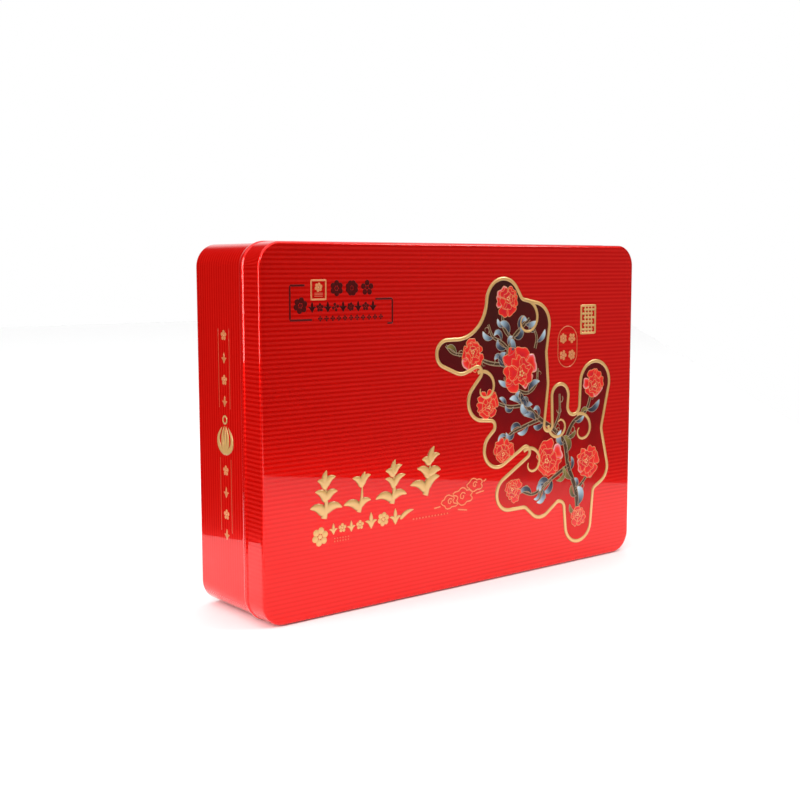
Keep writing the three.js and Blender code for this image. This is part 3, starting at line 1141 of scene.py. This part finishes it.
def sprig(shell, foot, height, relief=0.15, tone=SHADED_EDGE_TONE):
    """A little sprig: a bud on a stem between two spread leaves."""
    x, z = foot
    bar(shell, (x, z), (x, z + 0.5 * height), 0.07 * height, relief, tone=tone)
    for rise, degrees, length, width, bend in (
        (0.42, 90, 0.6, 0.15, 0.0),
        (0.08, 138, 0.62, 0.14, -0.22),
        (0.08, 42, 0.62, 0.14, 0.22),
    ):
        foot = (x, z + rise * height)
        brushed_leaf(shell, foot, degrees, length * height, width * height, bend, relief, tone)


def small_flower(shell, centre, radius, petals=5, turn=0.3, height=0.12):
    """A little flower of round petals about a round middle."""
    for k in range(petals):
        angle = turn + 2 * np.pi * k / petals
        spot = centre + 0.62 * radius * heading_of(angle)
        dome(shell, ring(spot, 0.36 * radius, 12), spot, height, tone=(0.6, 0.4))
    dome(shell, ring(centre, 0.24 * radius, 10), centre, height, tone=(0.8, 0.6))


def framed(shell, low, high, half_width, height=0.15):
    """A rectangular frame: one closed stroke through its corners."""
    corners = np.array([low, (high[0], low[1]), high, (low[0], high[1])], float)
    sides = zip(corners, np.roll(corners, -1, axis=0))
    path = np.vstack([np.linspace(a, b, 12, endpoint=False) for a, b in sides])
    stroke(shell, path, half_width, height, closed=True)


def bar(shell, a, b, half_width, height=0.12, tone=0.5):
    """A straight stroke with round ends."""
    stroke(shell, np.linspace(a, b, 6), half_width, height, tone=tone, count=14)


def build_shoots():
    """Four tea shoots in broad gold brush strokes, with a row of small sprigs below them."""
    gold = Shell(LID_FACE)
    for seed, (foot, lean, size, pairs) in enumerate([
        ((-85.5, 44.5), 84, 19.5, 3),
        ((-66.5, 45.0), 74, 16.5, 2),
        ((-47.5, 46.5), 82, 18.5, 3),
        ((-27.5, 48.0), 72, 21, 3),
    ]):
        tea_shoot(gold, foot, lean, size, pairs, seed + 3)
    shell_piece("gold_tea_shoots", gold, [GOLD], "lid")

    row = Shell(LID_FACE)
    small_flower(row, (-87.6, 36.8), 4.4, petals=6, height=0.2)
    for k in range(4):
        if k % 2:
            small_flower(row, (-80.4 + 4.9 * k, 39.2), 2.2, height=0.2)
        else:
            sprig(row, (-80.4 + 4.9 * k, 36.8), 5.0, 0.2)
    for k in range(3):
        if k % 2:
            small_flower(row, (-59.4 + 7.0 * k, 40.0), 3.4, petals=6, height=0.2)
        else:
            sprig(row, (-59.4 + 7.0 * k, 36.6), 7.4, 0.2)
    brushed_leaf(row, (-42.6, 38.6), 24, 9.0, 1.2, 0.1, height=0.2)
    shell_piece("gold_sprig_row", row, [GOLD], "lid")

    fine = Shell(LID_FACE)
    for k in range(12):
        bar(fine, (-35 + 1.9 * k, 37.6), (-34.1 + 1.9 * k, 37.6), 0.42, 0.08, tone=0.1)
    for k in range(6):
        bar(fine, (-80 + 1.5 * k, 33.6), (-79.4 + 1.5 * k, 33.6), 0.4, 0.08, tone=0.1)
        bar(fine, (-80 + 1.5 * k, 34.9), (-79.4 + 1.5 * k, 34.9), 0.3, 0.08, tone=0.1)
    for path in cloud_wisps():
        stroke(fine, path, 0.3, 0.12)
    shell_piece("fine_gold_clouds", fine, [FINE_GOLD], "lid")


def scallop(centre, width, height, lobes):
    """A cloud's edge: an ellipse that swells by the absolute sine of half the lobes' angle."""
    angle = np.linspace(0, 2 * np.pi, 12 * lobes, endpoint=False)
    reach = 0.78 + 0.3 * np.abs(np.sin(lobes * angle / 2))
    return centre + np.column_stack([width * reach * np.cos(angle), height * reach * np.sin(angle)])


def cloud_wisps():
    """Three little drifting clouds, each a scalloped edge round a curl, with wisps between them."""
    paths = []
    for centre, size, lobes in (((-12, 43), 5.2, 5), ((-4, 44.6), 6.4, 6), ((4, 49.4), 5.0, 5)):
        edge = scallop(centre, size, 0.62 * size, lobes)
        paths.append(np.vstack([edge, edge[:2]]))
        paths.append(spiral(centre, 0.34 * size, 0.08 * size, 30, 400, 30))
    for a, b in (
        ((-22, 41), (-18, 41.4)), ((4.5, 45), (10, 45.8)),
        ((9.6, 50.4), (11.4, 51.4)), ((-7, 38.6), (-1, 37.6)),
    ):
        paths.append(np.linspace(a, b, 8))
    return paths


def build_bracket_block():
    """The block at the lid's top corner: brackets and small motifs in black, and a gold frame."""
    black = Shell(LID_FACE)
    left, low, high = -102.0, 132.2, 147.0
    right = -46.8
    for a, b in [
        ((left, low), (left, high)),
        ((left, high), (-94.3, high)),
        ((left, low), (-90.5, low)),
        ((right, 129.6), (right, 140.6)),
        ((-56.5, 140.6), (right, 140.6)),
        ((-49.8, 129.6), (right, 129.6)),
    ]:
        bar(black, a, b, 0.44, tone=0.8)
    for x, petals, turn in ((-77.6, 6, 0.52), (-69.4, 8, 0.39), (-61.0, 5, 0.31)):
        small_flower(black, (x, 145.6), 3.6, petals=petals, turn=turn, height=0.1)
    small_flower(black, (-96.6, 138.4), 3.7, petals=6, height=0.1)
    for k in range(9):
        if k % 2:
            small_flower(black, (-90.6 + 4.1 * k, 137.4), 2.0, petals=4 + k % 3, height=0.1)
        else:
            sprig(black, (-90.6 + 4.1 * k, 135.3), 4.6, 0.1, tone=0.1)
    for k in range(11):
        small_flower(black, (-86.4 + 3.3 * k, 132.6), 1.25, petals=4, turn=0.0, height=0.08)
    shell_piece("black_brackets_and_motifs", black, [BLACK], "lid")

    gold = Shell(LID_FACE)
    framed(gold, (-91.0, 140.9), (-83.4, 149.1), 0.38)
    small_flower(gold, (-87.2, 146.1), 2.1, petals=6)
    for k in range(3):
        bar(gold, (-89.4, 142.2 + 0.7 * k), (-85.0, 142.2 + 0.7 * k), 0.16, 0.08, tone=0.0)
    shell_piece("gold_flower_frame", gold, [FINE_GOLD], "lid")


def build_seals():
    """Two gold seals at the lid's right: a long oval round four flowers, and a solid fret block."""
    fine = Shell(LID_FACE)
    oval = belt([(67.5, 117.4, 7.0), (67.5, 110.4, 7.0)], 0.5)
    stroke(fine, oval, 0.24, 0.12, closed=True, tone=0.15)
    for k, (x, z) in enumerate([(64.3, 109.6), (70.7, 109.6), (64.3, 118.2), (70.7, 118.2)]):
        small_flower(fine, (x, z), 2.7, petals=5 + (k + k // 2) % 2, turn=0.3 * k, height=0.1)
    shell_piece("gold_oval_seal", fine, [FINE_GOLD], "lid")

    solid = Shell(LID_FACE)
    low, high = np.array([77.4, 120.4]), np.array([88.0, 134.6])
    framed(solid, low, high, 0.6, 0.2)
    for k in range(6):
        z = low[1] + 1.9 + 2.05 * k
        inset = 1.8 if k % 2 else 0.4
        bar(solid, (low[0] + inset, z), (high[0] - (2.2 - inset), z), 0.6, 0.18, tone=SHADED_EDGE_TONE)
    for x in (low[0] + 2.9, low[0] + 5.3, low[0] + 7.7):
        bar(solid, (x, low[1] + 0.4), (x, high[1] - 0.4), 0.55, 0.18, tone=SHADED_EDGE_TONE)
    shell_piece("gold_fret_seal", solid, [GOLD], "lid")


def build_end_band(name, wall, middle):
    """The band on a short end: two fine lines, four motifs above and below, and a lotus bud."""
    gold = Shell(wall)
    half, top, foot = 4.6, 128.3, 37.7
    for side in (-1, 1):
        x = middle + side * half
        for a, b in ((foot, 71.0), (93.0, top)):
            bar(gold, (x, a), (x, b), 0.15, 0.06, tone=0.0)
    for number, z in enumerate((125.2, 115.3, 105.6, 96.2, 65.4, 55.6, 45.6, 36.6)):
        if number % 2:
            sprig(gold, (middle, z - 2.4), 4.8, 0.1, tone=0.4)
        else:
            small_flower(gold, (middle, z), 2.4, petals=5, turn=0.31, height=0.1)
    shell_piece(name, gold, [FINE_GOLD], "tin_body")

    medallion = Shell(wall)
    foot = np.array([middle, 72.6])
    for side in (-1, 1):
        brushed_leaf(medallion, foot, 90 - side * 12, 12.5, 1.35, -side * 0.34)
        brushed_leaf(medallion, foot, 90 - side * 3, 12.8, 1.3, -side * 0.14)
    brushed_leaf(medallion, foot + (0, 1.2), 90, 11.0, 1.1, 0.0)
    stroke(medallion, ring((middle, 88.0), 1.7, 20), 0.45, 0.2, closed=True, tone=SHADED_EDGE_TONE)
    shell_piece(name + "_medallion", medallion, [GOLD], "tin_body")


# ---------------------------------------------------------------- camera, floor and light
def build_camera():
    """A camera at eye height, a little to the left of the tin's face and level with its top."""
    data = bpy.data.cameras.new("camera")
    data.lens = 53.65
    data.sensor_width = 36
    yaw, pitch, roll = (math.radians(a) for a in (38.564, -6.387, -0.109))
    forward = Vector(
        (math.sin(yaw) * math.cos(pitch), math.cos(yaw) * math.cos(pitch), math.sin(pitch))
    )
    level_right = Vector((math.cos(yaw), -math.sin(yaw), 0))
    level_up = level_right.cross(forward)
    right = math.cos(roll) * level_right + math.sin(roll) * level_up
    up = math.cos(roll) * level_up - math.sin(roll) * level_right
    turn = Matrix((right, up, -forward)).transposed().to_4x4()
    camera = bpy.data.objects.new("camera", data)
    camera.matrix_world = Matrix.Translation((-0.3807, -0.4510, 0.1549)) @ turn
    bpy.context.scene.collection.objects.link(camera)
    bpy.context.scene.camera = camera


def build_floor():
    """A pale table top: a long strip under the tin, so that its edge shows mirrored in the tin."""
    mesh = bpy.data.meshes.new("floor")
    near, far = -0.98, 2.6  # where the strip begins and ends along Y
    left_slope, left_start, right_start = 0.345, -0.233, 0.434  # its sides: X against Y
    corners = [
        (left_slope * far + left_start, far, 0),
        (left_slope * near + left_start, near, 0),
        (near + right_start, near, 0),
        (far + right_start, far, 0),
    ]
    mesh.from_pydata(corners, [], [(0, 1, 2, 3)])
    floor = bpy.data.objects.new("floor", mesh)
    bpy.context.scene.collection.objects.link(floor)
    material, _, shader, _ = new_material("Pale table top", Roughness=0.6)
    shader.inputs["Base Color"].default_value = (0.96, 0.96, 0.96, 1)
    mesh.materials.append(material)


def area_light(name, place, aim, size, power):
    data = bpy.data.lights.new(name, "AREA")
    data.shape = "RECTANGLE"
    data.size, data.size_y = size
    data.energy = power
    light = bpy.data.objects.new(name, data)
    light.location = place
    light.rotation_mode = "QUATERNION"
    light.rotation_quaternion = (Vector(aim) - Vector(place)).to_track_quat("-Z", "Y")
    bpy.context.scene.collection.objects.link(light)


def build_world():
    """White all round for the camera. What lights the tin is a bright ceiling over dark walls.

    The walls are black but for a pale backdrop low behind the tin, and a faint glow on the right.
    """
    world = bpy.data.worlds.new("studio")
    world.use_nodes = True
    tree = world.node_tree
    tree.nodes.clear()
    direction = tree.nodes.new("ShaderNodeTexCoord").outputs["Generated"]
    height = tree.nodes.new("ShaderNodeSeparateXYZ")
    tree.links.new(direction, height.inputs[0])

    def toward(x, y):
        node = tree.nodes.new("ShaderNodeVectorMath")
        node.operation = "DOT_PRODUCT"
        node.inputs[1].default_value = (x, y, 0)
        tree.links.new(direction, node.inputs[0])
        return node.outputs["Value"]

    def rise(value, low, high, top):
        node = tree.nodes.new("ShaderNodeMapRange")
        node.interpolation_type = "SMOOTHSTEP"
        tree.links.new(value, node.inputs["Value"])
        limits = {"From Min": low, "From Max": high, "To Min": 0.0, "To Max": top}
        for label, number in limits.items():
            node.inputs[label].default_value = number
        return node.outputs["Result"]

    ceiling = rise(height.outputs["Z"], 0.52, 0.76, CEILING)
    glow = rise(toward(0.80, -0.60), 0.90, 1.0, 0.15)
    backdrop = rise(toward(0.50, 0.87), 0.80, 0.95, 0.9)
    low_down = rise(height.outputs["Z"], 0.90, 0.50, 1.0)
    above = math_node(tree, "ADD", ceiling, glow)
    light = math_node(tree, "MULTIPLY_ADD", backdrop, low_down, above)
    mirrored = tree.nodes.new("ShaderNodeBackground")
    tree.links.new(light, mirrored.inputs["Strength"])
    white = tree.nodes.new("ShaderNodeBackground")
    for background in (mirrored, white):
        background.inputs["Color"].default_value = (1, 1, 1, 1)
    seen = tree.nodes.new("ShaderNodeLightPath").outputs["Is Camera Ray"]
    choice = tree.nodes.new("ShaderNodeMixShader")
    tree.links.new(seen, choice.inputs[0])
    tree.links.new(mirrored.outputs[0], choice.inputs[1])
    tree.links.new(white.outputs[0], choice.inputs[2])
    output = tree.nodes.new("ShaderNodeOutputWorld")
    tree.links.new(choice.outputs[0], output.inputs["Surface"])
    bpy.context.scene.world = world


def build_studio():
    build_floor()
    build_world()
    # The left softbox ends a little below the table's height, so the upright bends mirror its foot.
    area_light("left_softbox", (-1.6, 0.05, 0.56), (0, 0, 0.4), (0.5, 1.1), 19.5)
    area_light("key", (-1.7, -1.6, 1.5), (0, 0, 0.1), (0.9, 0.9), 20)
    area_light("right_fill", (0.68, -0.66, 0.62), (0.12, 0, 0.12), (0.3, 0.3), 3.9)
    bpy.context.scene.view_settings.view_transform = "Standard"


build_camera()
build_studio()
build_lid()
build_body_wall()
build_side_seam()
build_bottom_plate()
build_cartouche()
build_shoots()
build_bracket_block()
build_seals()
build_end_band("left_end_band", LEFT_END, -3.8)
build_end_band("right_end_band", RIGHT_END, 3.8)
